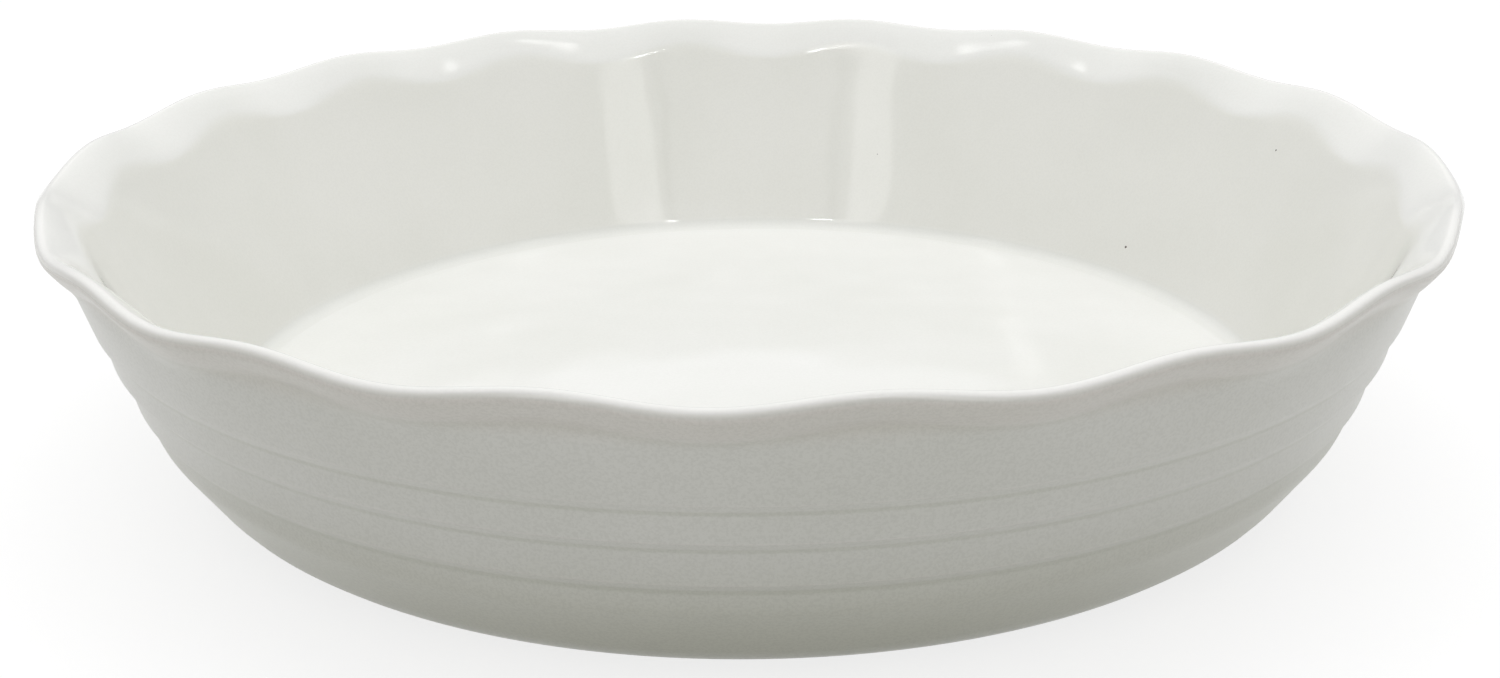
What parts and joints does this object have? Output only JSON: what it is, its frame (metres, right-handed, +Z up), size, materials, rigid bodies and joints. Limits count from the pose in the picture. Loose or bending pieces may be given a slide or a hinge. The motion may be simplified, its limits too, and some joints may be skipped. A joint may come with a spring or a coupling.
{
  "type": "pie dish",
  "caption": "Round white glazed ceramic pie dish with a ruffled, turned-out rim, flat floor, stepped bands round the outer wall and a foot ring.",
  "frame": {"origin": "middle of the foot ring's underside, on the surface that the dish stands on", "axes": "+Z up along the dish's axis; the rim's waves are lowest on the -Y and +Y sides, so that the picture's view is from -Y"},
  "size_m": [0.2653, 0.2666, 0.0576],
  "materials": {
    "white_glaze": "glossy white glaze fused on, with a bare clay foot ring",
    "underside_glaze": "glossy white glaze inside the foot ring"
  },
  "bodies": {
    "root": {"dish_body": "white_glaze", "underside_glaze": "underside_glaze"}
  },
  "joints": []
}
